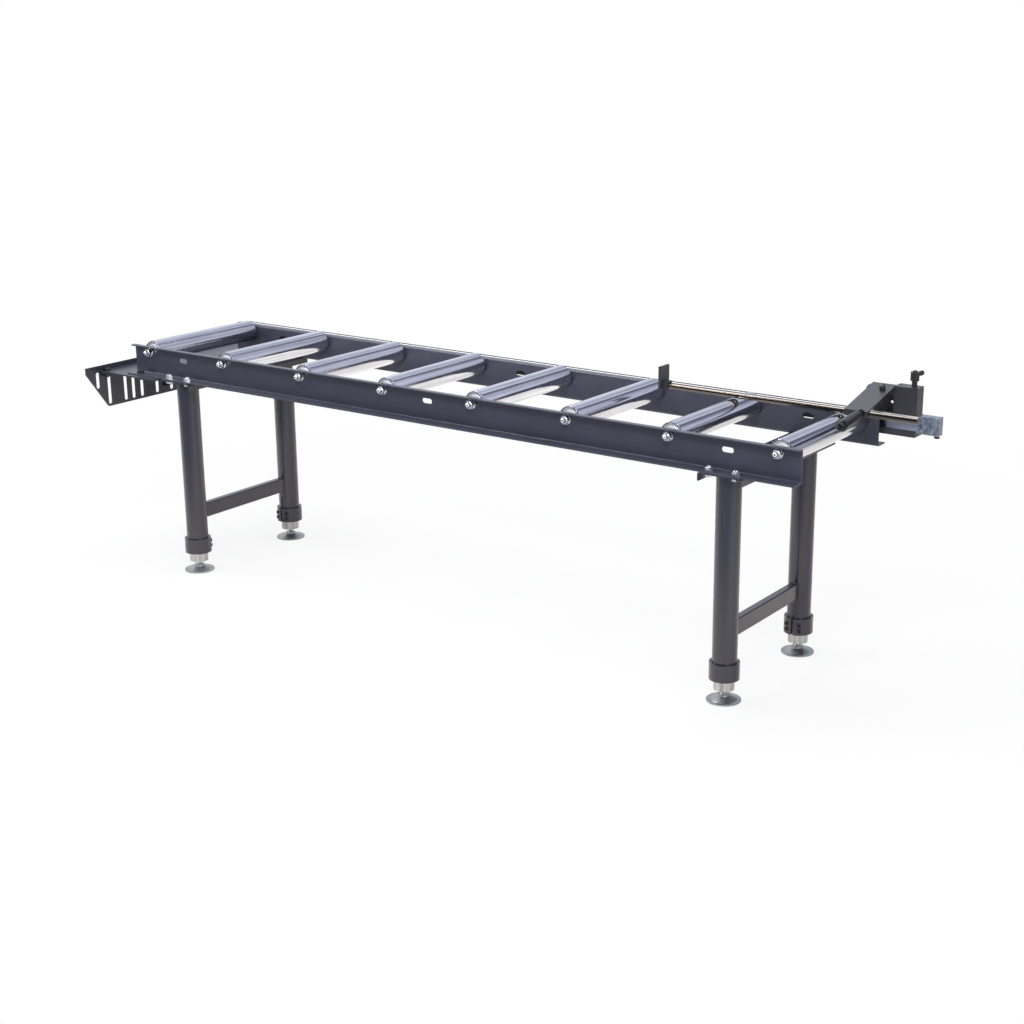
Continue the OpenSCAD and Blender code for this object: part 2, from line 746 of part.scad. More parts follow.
module guide_screws() {
  color(zinc) place() {
    spacer_places() {
      bar_y(guide_y - guide_offset * 0.6, screw_head_y + cut, 0, groove_z, spacer_screw_d);
      bar_y(screw_head_y, guide_back - groove_depth - fit, 0, groove_z, screw_head_d);
    }
    translate([x_high - block_screw_d, block_y + end_block_w / 2, block_z]) {
      bar_z(-block_screw_foot, block_screw_in, 0, 0, block_screw_d);
    }
  }
}
module end_block() {
  color(alloy) place() difference() {
    block([guide_end, block_y, block_z], [x_high, block_y + end_block_w, block_z + end_block_h]);
    for (k = block_recess_shares) {
      translate([guide_end + k * end_block_l, block_y + block_recess, block_z + end_block_h / 2])
        rotate([90, 0, 0]) linear_extrude(block_recess + cut) rotate(90)
          slot_outline(end_block_h * block_recess_share, block_recess_d);
    }
    bar_z(block_z - cut, block_z + block_screw_in, x_high - block_screw_d, block_y + end_block_w / 2,
      block_screw_d + 2 * run);
  }
}

// Carriage: box over and behind the guide bar, back plate with the hinge ear, wrap under the bar
module carriage_box() {
  s = box_sheet;
  color(paint) place() difference() {
    union() {
      block([box_x0, box_y, box_bottom], [box_x1, box_back, box_top]);
      block([box_x0, back_y, wrap_z], [box_x1, box_back, box_bottom + cut]);
      block([plate_x0, box_back - s, wrap_z], [box_x0 + cut, box_back, hinge_z + plate_rise]);
      block([plate_x0, wrap_lip_y, wrap_z], [box_x1 + wrap_foot, box_back, wrap_z + wrap_t]);
      block([plate_x0, wrap_lip_y, wrap_z], [box_x1 + wrap_foot, wrap_lip_y + wrap_lip_t, wrap_lip_top]);
      block([plate_x0, hinge_y - ear_w / 2, hinge_z - ear_w / 2], [plate_x0 + ear_t, box_back, hinge_z + ear_rise]);
    }
    block([box_x0 + s, box_y + s, box_bottom + s], [box_x1 - s, box_back - s, box_top - s]);
    block([box_x0 + s, back_y - cut, wrap_z + wrap_t + s], [box_x1 - s, box_back - s, box_bottom + s + cut]);
    bar_z(box_top - s - cut, box_top + cut, clamp_x, clamp_y, clamp_screw_d + 2 * run);
    bar_z(box_top - s - cut, box_top + cut, box_x0 + top_hole_x, clamp_y + top_hole_y, top_hole_d);
    bar_x(plate_x0 - cut, box_x0 + s + cut, hinge_y, hinge_z, hinge_pin_d + 2 * run);
    bar_y(box_back - s - cut, box_back + cut, box_x0 - plate_hole_x, box_top - plate_hole_drop, plate_hole_d);
  }
}

// Key in the T-groove, clamped by the lever's screw
module guide_key() {
  x0 = box_x0 + box_sheet + fit;
  x1 = box_x1 - box_sheet - fit;
  neck_y = guide_back - groove_depth / 2 - fit;
  color(zinc) place() {
    block([x0, guide_back - groove_depth + fit, groove_z - groove_h / 2 + fit],
      [x1, neck_y, groove_z + groove_h / 2 - fit]);
    block([x0, neck_y - cut, groove_z - groove_mouth / 2 + fit],
      [x1, back_y + fit, groove_z + groove_mouth / 2 - fit]);
    block([x0, back_y, groove_z - groove_h], [x1, box_back - box_sheet, groove_z + groove_h]);
  }
}
module clamp_lever() {
  color(black) place() translate([clamp_x, clamp_y, 0]) {
    bar_z(groove_z + groove_h + fit, lever_z + cut, 0, 0, clamp_screw_d);
    bar_z(box_top + fit, lever_z + cut, 0, 0, clamp_screw_d * 1.6);
    bar_z(lever_z, lever_z + lever_hub_h, 0, 0, lever_hub_d);
    bar_z(lever_z, lever_z + lever_hub_h + lever_cap_h, 0, 0, lever_hub_d * lever_cap_share);
    translate([0, 0, lever_z + lever_hub_h * 0.6]) rotate([-80, 0, -25]) {
      cylinder(h = lever_reach, d1 = lever_hub_d * 0.5, d2 = lever_hub_d * 0.6);
      translate([0, 0, lever_reach]) sphere(d = lever_hub_d * 0.6);
    }
  }
}
module hinge_pin() {
  color(zinc) place() {
    bar_x(plate_x0 - pin_head, box_x0 + box_sheet + pin_end, hinge_y, hinge_z, hinge_pin_d);
    bar_x(plate_x0 - 2 * pin_head, plate_x0 - fit, hinge_y, hinge_z, hinge_pin_d * 1.6);
  }
}

// Stop arm: sloping top plate, front flange, hinge cheeks and the saddle that holds the rod
module on_slope() { translate([arm_x0, hinge_y, arm_top_z]) rotate([arm_slope, 0, 0]) children(); }
module arm_side(x0) {
  translate([x0, hinge_y, hinge_z]) rotate([0, 90, 0]) cylinder(h = arm_sheet, d = hinge_pin_d + 2 * cheek_wall);
  block([x0, hinge_y - cheek_l, hinge_z - cheek_low], [x0 + arm_sheet, hinge_y, hinge_z + cheek_high]);
}
module stop_arm() {
  color(paint) place() difference() {
    union() {
      on_slope() block([0, -arm_length, -arm_sheet], [arm_w, arm_back, 0]);
      block([arm_x0, arm_front_y, low_z], [arm_x1, arm_front_y + arm_sheet, arm_front_z - fit]);
      block([saddle_x0, arm_front_y + cut, low_z], [saddle_x1, lug_y1, arm_front_z - fit]);
      arm_side(arm_x0);
      arm_side(arm_x1 - arm_sheet);
    }
    bar_x(arm_x0 - cut, arm_x1 + cut, rod_y, rod_z, rod_d + 2 * run);
    bar_x(arm_x0 - cut, arm_x1 + cut, hinge_y, hinge_z, hinge_pin_d + 2 * run);
    on_slope() bar_z(-arm_sheet - cut, cut, knob_x, -knob_reach, knob_stem_d + 2 * run);
    translate([grip_x, arm_front_y, grip_z]) rotate([-90, 0, 0])
      translate([0, 0, -cut]) cylinder(h = arm_sheet + 2 * cut, d = grip_stem_d + grip_hole_play);
  }
}
module arm_knob() {
  color(black) place() on_slope() {
    bar_z(-arm_sheet - knob_stem_end, fit + cut, knob_x, -knob_reach, knob_stem_d);
    bar_z(fit, knob_h - knob_d / 2, knob_x, -knob_reach, knob_d);
    translate([knob_x, -knob_reach, knob_h - knob_d / 2]) sphere(d = knob_d);
  }
}
module handle_grip() {
  tip = grip_length - grip_d / 2;
  color(black) place() translate([grip_x, arm_front_y, grip_z]) rotate([90 - grip_lift, 0, grip_turn]) {
    translate([0, 0, -arm_sheet + fit]) cylinder(h = grip_root + arm_sheet + cut, d = grip_stem_d);
    translate([0, 0, grip_root]) cylinder(h = tip - grip_root, d1 = grip_d * 0.8, d2 = grip_d);
    translate([0, 0, tip]) sphere(d = grip_d);
  }
  color(black) place() bar_y(arm_front_y - fit - grip_collar_h, arm_front_y - fit, grip_x, grip_z, grip_stem_d * 1.6);
}
module stop_rod() { color(chrome) place() bar_x(rod_x0, rod_x1, rod_y, rod_z, rod_d); }
module stop_plate() {
  x1 = plate_x + stop_plate_t;
  color(paint) place() difference() {
    union() {
      block([plate_x, rod_y - stop_plate_w / 2, low_z], [x1, rod_y + stop_plate_w / 2, rod_z + stop_plate_rise]);
      block([x1 - cut, rod_y - hub_w / 2, low_z], [x1 + hub_l, rod_y + hub_w / 2, rod_z + hub_rise]);
    }
    bar_x(plate_x - cut, x1 + hub_l + cut, rod_y, rod_z, rod_d + 2 * run);
  }
}

module roller_1_tube() { roller_tube(1); }
module roller_2_tube() { roller_tube(2); }
module roller_3_tube() { roller_tube(3); }
module roller_4_tube() { roller_tube(4); }
module roller_5_tube() { roller_tube(5); }
module roller_6_tube() { roller_tube(6); }
module roller_7_tube() { roller_tube(7); }
module roller_8_tube() { roller_tube(8); }
module roller_1_caps() { roller_caps(1); }
module roller_2_caps() { roller_caps(2); }
module roller_3_caps() { roller_caps(3); }
module roller_4_caps() { roller_caps(4); }
module roller_5_caps() { roller_caps(5); }
module roller_6_caps() { roller_caps(6); }
module roller_7_caps() { roller_caps(7); }
module roller_8_caps() { roller_caps(8); }

front_rail();
rear_rail();
roller_axles();
axle_nuts();
roller_bearings();
roller_1_tube();
roller_1_caps();
roller_2_tube();
roller_2_caps();
roller_3_tube();
roller_3_caps();
roller_4_tube();
roller_4_caps();
roller_5_tube();
roller_5_caps();
roller_6_tube();
roller_6_caps();
roller_7_tube();
roller_7_caps();
roller_8_tube();
roller_8_caps();
left_channel();
left_legs();
left_cross_tube();
right_channel();
right_legs();
right_cross_tube();
frame_bolts();
leg_collars();
collar_screws();
inner_leg_lf();
inner_leg_lr();
inner_leg_rf();
inner_leg_rr();
stud_lf();
stud_lr();
stud_rf();
stud_rr();
foot_pad_lf();
foot_pad_lr();
foot_pad_rf();
foot_pad_rr();
adapter_plate();
slotted_plate();
adapter_bolts();
guide_bar();
guide_strip();
guide_spacers();
end_block();
guide_screws();
carriage_box();
guide_key();
clamp_lever();
hinge_pin();
stop_arm();
arm_knob();
handle_grip();
stop_rod();
stop_plate();
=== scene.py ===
import bpy
import bmesh
import json
import math
from mathutils import Matrix, Vector


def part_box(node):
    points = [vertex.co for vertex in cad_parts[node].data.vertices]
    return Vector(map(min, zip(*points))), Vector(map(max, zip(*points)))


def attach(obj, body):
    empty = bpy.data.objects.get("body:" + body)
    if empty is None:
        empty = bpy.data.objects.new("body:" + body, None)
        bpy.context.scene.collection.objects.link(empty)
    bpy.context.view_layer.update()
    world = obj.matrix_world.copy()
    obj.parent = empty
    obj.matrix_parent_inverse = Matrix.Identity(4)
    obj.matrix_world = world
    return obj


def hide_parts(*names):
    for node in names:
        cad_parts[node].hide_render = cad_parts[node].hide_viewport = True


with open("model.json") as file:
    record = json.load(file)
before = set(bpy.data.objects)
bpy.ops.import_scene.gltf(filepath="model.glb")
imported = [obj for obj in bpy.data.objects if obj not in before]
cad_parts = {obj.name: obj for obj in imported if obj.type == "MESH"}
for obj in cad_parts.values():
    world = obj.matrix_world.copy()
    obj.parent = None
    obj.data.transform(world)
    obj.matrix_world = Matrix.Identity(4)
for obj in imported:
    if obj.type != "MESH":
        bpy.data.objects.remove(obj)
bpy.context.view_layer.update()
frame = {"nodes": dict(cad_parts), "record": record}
nodes = frame["nodes"]
print("frame loaded")

mm = 0.001
# The Mix node's colour sockets share their names with its number sockets, so they go by place
mixA = 6
mixB = 7
mixColor = 2


# Settings written in millimetres, given back in metres
def metres(settings):
    return {key: value * mm for key, value in settings.items()}


# A socket is linked, and a plain value is set
def feed(tree, value, socket):
    if isinstance(value, bpy.types.NodeSocket):
        tree.links.new(value, socket)
    else:
        socket.default_value = value


def newGroup(name, inputs, outputs):
    group = bpy.data.node_groups.new(name, "ShaderNodeTree")
    for label, kind, value in inputs:
        socket = group.interface.new_socket(name=label, in_out="INPUT", socket_type=kind)
        if value is not None:
            socket.default_value = value
    for label, kind in outputs:
        group.interface.new_socket(name=label, in_out="OUTPUT", socket_type=kind)
    return group, group.nodes.new("NodeGroupInput"), group.nodes.new("NodeGroupOutput")


def useGroup(tree, group, **values):
    node = tree.nodes.new("ShaderNodeGroup")
    node.node_tree = group
    for key, value in values.items():
        feed(tree, value, node.inputs[key])
    return node


def mathNode(tree, operation, a, b, clamp=False):
    node = tree.nodes.new("ShaderNodeMath")
    node.operation = operation
    node.use_clamp = clamp
    feed(tree, a, node.inputs[0])
    feed(tree, b, node.inputs[1])
    return node.outputs[0]


def noiseNode(tree, scale, detail, rough=0.55):
    node = tree.nodes.new("ShaderNodeTexNoise")
    node.inputs["Detail"].default_value = detail
    node.inputs["Roughness"].default_value = rough
    feed(tree, scale, node.inputs["Scale"])
    return node


# A value between start and end, carried over to a value between low and high
def mapRange(tree, value, start, end, low=0.0, high=1.0, curve="LINEAR"):
    node = tree.nodes.new("ShaderNodeMapRange")
    node.interpolation_type = curve
    feed(tree, value, node.inputs["Value"])
    feed(tree, start, node.inputs["From Min"])
    feed(tree, end, node.inputs["From Max"])
    feed(tree, low, node.inputs["To Min"])
    feed(tree, high, node.inputs["To Max"])
    return node.outputs["Result"]


def colorMix(tree, factor, a, b, blend="MIX"):
    node = tree.nodes.new("ShaderNodeMix")
    node.data_type = "RGBA"
    node.blend_type = blend
    feed(tree, factor, node.inputs["Factor"])
    feed(tree, a, node.inputs[mixA])
    feed(tree, b, node.inputs[mixB])
    return node.outputs[mixColor]


# Fine orange peel of powder coat and castings, with a soft edge highlight
peelDetail = {"noise": 3.0, "bevelSamples": 4, "bumpDistance": 0.0004}
peelGroup, peelIn, peelOut = newGroup(
    "peelEffect",
    [("Vector", "NodeSocketVector", None), ("Scale", "NodeSocketFloat", 900.0),
     ("Strength", "NodeSocketFloat", 0.15), ("Edge", "NodeSocketFloat", 0.0008)],
    [("Normal", "NodeSocketVector")],
)
peelNoise = noiseNode(peelGroup, peelIn.outputs["Scale"], peelDetail["noise"])
peelGroup.links.new(peelIn.outputs["Vector"], peelNoise.inputs["Vector"])
peelBevel = peelGroup.nodes.new("ShaderNodeBevel")
peelBevel.samples = peelDetail["bevelSamples"]
peelGroup.links.new(peelIn.outputs["Edge"], peelBevel.inputs["Radius"])
peelBump = peelGroup.nodes.new("ShaderNodeBump")
peelBump.inputs["Distance"].default_value = peelDetail["bumpDistance"]
peelGroup.links.new(peelIn.outputs["Strength"], peelBump.inputs["Strength"])
peelGroup.links.new(peelNoise.outputs["Fac"], peelBump.inputs["Height"])
peelGroup.links.new(peelBevel.outputs["Normal"], peelBump.inputs["Normal"])
peelGroup.links.new(peelBump.outputs["Normal"], peelOut.inputs["Normal"])

# Slow cloudiness, for colour and roughness that vary a little across a piece
cloudDetail = {"noise": 5.0, "from": 0.3, "to": 0.7}
cloudGroup, cloudIn, cloudOut = newGroup(
    "cloudEffect",
    [("Vector", "NodeSocketVector", None), ("Scale", "NodeSocketFloat", 14.0),
     ("Low", "NodeSocketFloat", 0.9), ("High", "NodeSocketFloat", 1.1)],
    [("Factor", "NodeSocketFloat")],
)
cloudNoise = noiseNode(cloudGroup, cloudIn.outputs["Scale"], cloudDetail["noise"])
cloudGroup.links.new(cloudIn.outputs["Vector"], cloudNoise.inputs["Vector"])
cloudFactor = mapRange(cloudGroup, cloudNoise.outputs["Fac"], cloudDetail["from"], cloudDetail["to"],
                       cloudIn.outputs["Low"], cloudIn.outputs["High"])
cloudGroup.links.new(cloudFactor, cloudOut.inputs["Factor"])

# Long drawing streaks of tube and bar: thin across the piece, stretched along it
streakDetail = {"noise": 6.0, "rough": 0.62, "from": 0.32, "to": 0.66}
streakGroup, streakIn, streakOut = newGroup(
    "streakEffect",
    [("Vector", "NodeSocketVector", None), ("Stretch", "NodeSocketVector", None),
     ("Low", "NodeSocketFloat", 0.6), ("High", "NodeSocketFloat", 1.1)],
    [("Factor", "NodeSocketFloat")],
)
streakPull = streakGroup.nodes.new("ShaderNodeVectorMath")
streakPull.operation = "MULTIPLY"
streakGroup.links.new(streakIn.outputs["Vector"], streakPull.inputs[0])
streakGroup.links.new(streakIn.outputs["Stretch"], streakPull.inputs[1])
streakNoise = noiseNode(streakGroup, 1.0, streakDetail["noise"], streakDetail["rough"])
streakGroup.links.new(streakPull.outputs[0], streakNoise.inputs["Vector"])
streakFactor = mapRange(streakGroup, streakNoise.outputs["Fac"], streakDetail["from"], streakDetail["to"],
                        streakIn.outputs["Low"], streakIn.outputs["High"])
streakGroup.links.new(streakFactor, streakOut.inputs["Factor"])

# What a look has when it doesn't say otherwise. Streaks are taken from "wear" for the roughness.
lookDefaults = {"metal": 0.0, "coat": 0.0, "coatRough": 0.2, "specular": 0.5, "vary": 0.08,
                "cloudScale": 14.0, "peelScale": 900.0, "edge": 0.0008, "wear": 1.6}


def surface(name, settings):
    look = {**lookDefaults, **settings}
    mat = bpy.data.materials.new(name)
    mat.use_nodes = True
    mat.diffuse_color = (*look["color"], 1)
    tree = mat.node_tree
    shader = tree.nodes["Principled BSDF"]
    shader.inputs["Metallic"].default_value = look["metal"]
    shader.inputs["Coat Weight"].default_value = look["coat"]
    shader.inputs["Coat Roughness"].default_value = look["coatRough"]
    shader.inputs["Specular IOR Level"].default_value = look["specular"]
    coords = tree.nodes.new("ShaderNodeTexCoord").outputs["Object"]
    cloud = useGroup(tree, cloudGroup, Vector=coords, Scale=look["cloudScale"],
                     Low=1 - look["vary"], High=1 + look["vary"]).outputs["Factor"]
    shade = cloud
    rough = mathNode(tree, "MULTIPLY", cloud, look["rough"], clamp=True)
    if "stretch" in look:
        streak = useGroup(tree, streakGroup, Vector=coords, Stretch=look["stretch"],
                          Low=look["streakLow"], High=look["streakHigh"]).outputs["Factor"]
        shade = mathNode(tree, "MULTIPLY", cloud, streak)
        worn = mathNode(tree, "SUBTRACT", look["wear"], streak)
        rough = mathNode(tree, "MULTIPLY", rough, worn, clamp=True)
    tint = colorMix(tree, 1.0, (*look["color"], 1), shade, "MULTIPLY")
    tree.links.new(tint, shader.inputs["Base Color"])
    tree.links.new(rough, shader.inputs["Roughness"])
    peel = useGroup(tree, peelGroup, Vector=coords, Scale=look["peelScale"],
                    Strength=look["peel"], Edge=look["edge"])
    tree.links.new(peel.outputs["Normal"], shader.inputs["Normal"])
    return mat


# Looks are named after the record's slots, and the last three are the scene's own
paintLook = {"color": (0.037, 0.037, 0.058), "rough": 0.35, "peel": 0.16, "vary": 0.07, "coat": 0.12}
looks = {
    "rail_paint": paintLook,
    "leg_paint": {**paintLook, "color": (0.024, 0.023, 0.036), "rough": 0.32, "coat": 0.2,
                  "stretch": (55, 55, 1.2), "streakLow": 0.85, "streakHigh": 1.12},
    "adapter_paint": {**paintLook, "color": (0.024, 0.024, 0.037)},
    "stop_paint": {**paintLook, "color": (0.026, 0.025, 0.032)},
    "roller_zinc": {"color": (0.72, 0.74, 0.81), "metal": 1.0, "rough": 0.22, "peel": 0.02, "vary": 0.06,
                    "stretch": (110, 1.4, 110), "streakLow": 0.66, "streakHigh": 1.15},
    "roller_cap": {"color": (0.86, 0.87, 0.90), "metal": 0.45, "rough": 0.4, "peel": 0.04},
    "bearing_steel": {"color": (0.32, 0.33, 0.35), "metal": 1.0, "rough": 0.3, "peel": 0.03},
    "axle_steel": {"color": (0.74, 0.75, 0.77), "metal": 1.0, "rough": 0.24, "peel": 0.03},
    "fastener_zinc": {"color": (0.80, 0.81, 0.83), "metal": 1.0, "rough": 0.2, "peel": 0.05, "vary": 0.15,
                      "cloudScale": 60.0},
    "black_screw": {"color": (0.006, 0.006, 0.007), "rough": 0.3, "peel": 0.05},
    "inner_leg_zinc": {"color": (0.47, 0.48, 0.49), "metal": 1.0, "rough": 0.3, "peel": 0.04,
                       "stretch": (110, 110, 4), "streakLow": 0.6, "streakHigh": 1.15},
    "foot_zinc": {"color": (0.36, 0.37, 0.38), "metal": 1.0, "rough": 0.33, "peel": 0.05, "vary": 0.16},
    "guide_alloy": {"color": (0.46, 0.48, 0.53), "metal": 1.0, "rough": 0.3, "peel": 0.02,
                    "stretch": (1.5, 160, 160), "streakLow": 0.7, "streakHigh": 1.1},
    "strip_black": {"color": (0.010, 0.010, 0.012), "rough": 0.75, "peel": 0.05, "specular": 0.12},
    "lever_black": {"color": (0.016, 0.016, 0.018), "rough": 0.35, "peel": 0.05},
    "grip_black": {"color": (0.006, 0.006, 0.008), "rough": 0.3, "peel": 0.06, "specular": 0.25},
    "rod_chrome": {"color": (0.13, 0.112, 0.10), "metal": 1.0, "rough": 0.16, "peel": 0.01},
    "tape": {"color": (0.74, 0.74, 0.73), "rough": 0.45, "peel": 0.03, "vary": 0.03},
    "endBlock": {"color": (0.33, 0.37, 0.43), "metal": 1.0, "rough": 0.3, "peel": 0.3, "vary": 0.45,
                 "cloudScale": 90.0},
    "studThread": {"color": (0.70, 0.71, 0.73), "metal": 1.0, "rough": 0.24, "peel": 0.03},
}
slotOf = {part["node"]: part["material_slot"] for part in frame["record"]["subparts"]}
mats = {name: surface(name, look) for name, look in looks.items()}
for name, obj in nodes.items():
    obj.data.materials.clear()
    obj.data.materials.append(mats[slotOf[name]])
nodes["end_block"].data.materials[0] = mats["endBlock"]
print("materials done")


def addPiece(name, bm, body, look):
    bmesh.ops.remove_doubles(bm, verts=bm.verts, dist=1e-6)
    bmesh.ops.recalc_face_normals(bm, faces=bm.faces)
    mesh = bpy.data.meshes.new(name)
    bm.to_mesh(mesh)
    bm.free()
    mesh.materials.append(mats[look])
    obj = bpy.data.objects.new(name, mesh)
    bpy.context.scene.collection.objects.link(obj)
    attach(obj, body)
    return obj


# A profile of (radius, height) points, spun about the axis at a place and added to a mesh
def turned(bm, profile, place, axis=(0, 0, 1), segments=32):
    part = bmesh.new()
    points = [part.verts.new((radius, 0, height)) for radius, height in profile]
    edges = [part.edges.new(pair) for pair in zip(points, points[1:])]
    bmesh.ops.spin(part, geom=points + edges, axis=(0, 0, 1), cent=(0, 0, 0),
                   angle=2 * math.pi, steps=segments, use_merge=True)
    lean = Vector((0, 0, 1)).rotation_difference(Vector(axis)).to_matrix().to_4x4()
    bmesh.ops.transform(part, matrix=Matrix.Translation(Vector(place)) @ lean, verts=part.verts)
    for face in part.faces:
        face.smooth = True
    spare = bpy.data.meshes.new("spare")
    part.to_mesh(spare)
    part.free()
    bm.from_mesh(spare)
    bpy.data.meshes.remove(spare)


# Profile points of a thread: a root at the start, and a flat crest and a root for each pitch
def threadProfile(radius, depth, pitch, start, end):
    crestFrom = 0.4
    crestTo = 0.6
    root = radius - depth
    points = [(root, start)]
    for i in range(int((end - start) / pitch)):
        at = start + i * pitch
        points += [(radius, at + pitch * crestFrom), (radius, at + pitch * crestTo), (root, at + pitch)]
    return points


# Fixed axles with threaded ends and a shoulder at each bearing
axle = metres({"radius": 6.0, "shoulder": 8.5, "depth": 0.9, "pitch": 1.75, "chamfer": 1.0,
               "frontEnd": 20, "rearEnd": 14, "web": 3, "jamNut": 6})
axleSegments = 24
rollerCount = len([name for name in nodes if name.startswith("roller_") and name.endswith("_tube")])
low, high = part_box("roller_axles")
bearingLow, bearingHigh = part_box("roller_bearings")
radius = axle["radius"]
shoulder = axle["shoulder"]
chamfer = axle["chamfer"]
thread = (radius, axle["depth"], axle["pitch"])
frontInside = low[1] + axle["frontEnd"] + axle["web"]
backInside = high[1] - axle["rearEnd"] - axle["web"]
shoulderStart = frontInside + axle["jamNut"]
shoulderEnd = backInside - axle["jamNut"]
profile = [(0, low[1]), (radius - chamfer, low[1])]
profile += threadProfile(*thread, low[1] + chamfer, frontInside)
profile += [(radius, frontInside + chamfer), (radius, shoulderStart), (shoulder, shoulderStart)]
profile += [(shoulder, bearingLow[1]), (radius, bearingLow[1])]
profile += [(radius, bearingHigh[1]), (shoulder, bearingHigh[1])]
profile += [(shoulder, shoulderEnd), (radius, shoulderEnd), (radius, backInside - chamfer)]
profile += threadProfile(*thread, backInside, high[1] - chamfer)
profile += [(radius - chamfer, high[1]), (0, high[1])]
bm = bmesh.new()
for i in range(rollerCount):
    tubeLow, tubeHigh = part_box("roller_%d_tube" % (i + 1))
    place = ((tubeLow[0] + tubeHigh[0]) / 2, 0, (tubeLow[2] + tubeHigh[2]) / 2)
    turned(bm, profile, place, (0, 1, 0), axleSegments)
threadedAxles = addPiece("threadedAxles", bm, "table", "axle_steel")
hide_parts("roller_axles")
print("axles done")

# Levelling studs: a ball, a neck up to neckTop above the floor, and a thread along the rest
stud = metres({"ball": 8.5, "neck": 5.0, "neckTop": 18.5, "radius": 7.0, "depth": 0.9, "pitch": 2.0,
               "chamfer": 1.2})
ballSteps = 12
ball = stud["ball"]
ballArc = math.pi - math.asin(stud["neck"] / ball)
angles = [ballArc * k / ballSteps for k in range(ballSteps + 1)]
radius = stud["radius"]
chamfer = stud["chamfer"]
neckTop = stud["neckTop"]
for corner in ("lf", "lr", "rf", "rr"):
    low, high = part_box("stud_" + corner)
    centre = ((low[0] + high[0]) / 2, (low[1] + high[1]) / 2, 0)
    middle = low[2] + ball
    profile = [(ball * math.sin(angle), middle - ball * math.cos(angle)) for angle in angles]
    profile += [(stud["neck"], neckTop), (radius - chamfer, neckTop)]
    profile += threadProfile(radius, stud["depth"], stud["pitch"], neckTop + chamfer, high[2] - chamfer)
    profile += [(radius - chamfer, high[2]), (0, high[2])]
    bm = bmesh.new()
    turned(bm, profile, centre)
    pieceName = "threadedStud" + corner.capitalize()
    threadedStud = addPiece(pieceName, bm, "screw_" + corner, "studThread")
    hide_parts("stud_" + corner)
print("studs done")


# A closed weld bead along points, rippled as it was laid
def bead(bm, points, radius, ripple, sides=8):
    rings = []
    for i, point in enumerate(points):
        along = (points[(i + 1) % len(points)] - points[i - 1]).normalized()
        across = along.orthogonal().normalized()
        lift = along.cross(across)
        here = radius * (1 + ripple * (i % 2))
        angles = [2 * math.pi * k / sides for k in range(sides)]
        rings.append([bm.verts.new(point + here * (across * math.cos(angle) + lift * math.sin(angle)))
                      for angle in angles])
    for i, ring in enumerate(rings):
        after = rings[(i + 1) % len(rings)]
        turn = min(range(sides), key=lambda t: (after[t].co - ring[0].co).length)
        for k in range(sides):
            beside = (k + 1) % sides
            corners = (ring[k], ring[beside], after[(beside + turn) % sides], after[(k + turn) % sides])
            bm.faces.new(corners).smooth = True


# The outline of a rounded rectangle about the origin, in steps of about the spacing
def roundedOutline(halfWidth, halfHeight, corner, spacing):
    wide = halfWidth - corner
    tall = halfHeight - corner
    bends = []
    for x, z, first in ((wide, tall, 0), (-wide, tall, 90), (-wide, -tall, 180), (wide, -tall, 270)):
        for degrees in (0, 30, 60, 90):
            angle = math.radians(first + degrees)
            bends.append((x + corner * math.cos(angle), z + corner * math.sin(angle)))
    outline = []
    for (x0, z0), (x1, z1) in zip(bends, bends[1:] + bends[:1]):
        steps = max(1, round(math.hypot(x1 - x0, z1 - z0) / spacing))
        outline += [(x0 + (x1 - x0) * k / steps, z0 + (z1 - z0) * k / steps) for k in range(steps)]
    return outline


# Weld beads: round each leg's top, and where the cross tubes meet the legs
weld = metres({"bead": 1.8, "spacing": 2.4, "leg": 28.5, "halfWidth": 10, "halfHeight": 20, "corner": 3})
weldRipple = 0.16
leg = weld["leg"]
ringCount = 4 * round(math.pi * leg / (2 * weld["spacing"]))
angles = [2 * math.pi * k / ringCount for k in range(ringCount)]
outline = roundedOutline(weld["halfWidth"], weld["halfHeight"], weld["corner"], weld["spacing"])
bm = bmesh.new()
for side in ("left", "right"):
    low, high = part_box(side + "_legs")
    crossLow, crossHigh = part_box(side + "_cross_tube")
    centreX = (low[0] + high[0]) / 2
    centreZ = (crossLow[2] + crossHigh[2]) / 2
    for sign in (-1, 1):
        legY = sign * (high[1] - leg)
        topRing = [Vector((centreX + leg * math.cos(angle), legY + leg * math.sin(angle), high[2]))
                   for angle in angles]
        bead(bm, topRing, weld["bead"], weldRipple)
        crossRing = [Vector((centreX + x, legY - sign * math.sqrt(leg ** 2 - x ** 2), centreZ + z))
                     for x, z in outline]
        bead(bm, crossRing, weld["bead"], weldRipple)
addPiece("weldBeads", bm, "table", "leg_paint")
print("welds done")

# Plain white tape on the guide bar, in front of the dark strip
tape = metres({"inset": 0.8, "thick": 0.15})
guideLow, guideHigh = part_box("guide_bar")
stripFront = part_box("guide_strip")[0][1]
start = Vector((guideLow[0] + tape["inset"], guideLow[1] + tape["inset"], guideHigh[2]))
end = Vector((guideHigh[0] - tape["inset"], stripFront - tape["inset"], guideHigh[2] + tape["thick"]))
bm = bmesh.new()
bmesh.ops.create_cube(bm, size=1)
shape = Matrix.Translation((start + end) / 2) @ Matrix.Diagonal((*(end - start), 1))
bmesh.ops.transform(bm, matrix=shape, verts=bm.verts)
addPiece("guideTape", bm, "table", "tape")

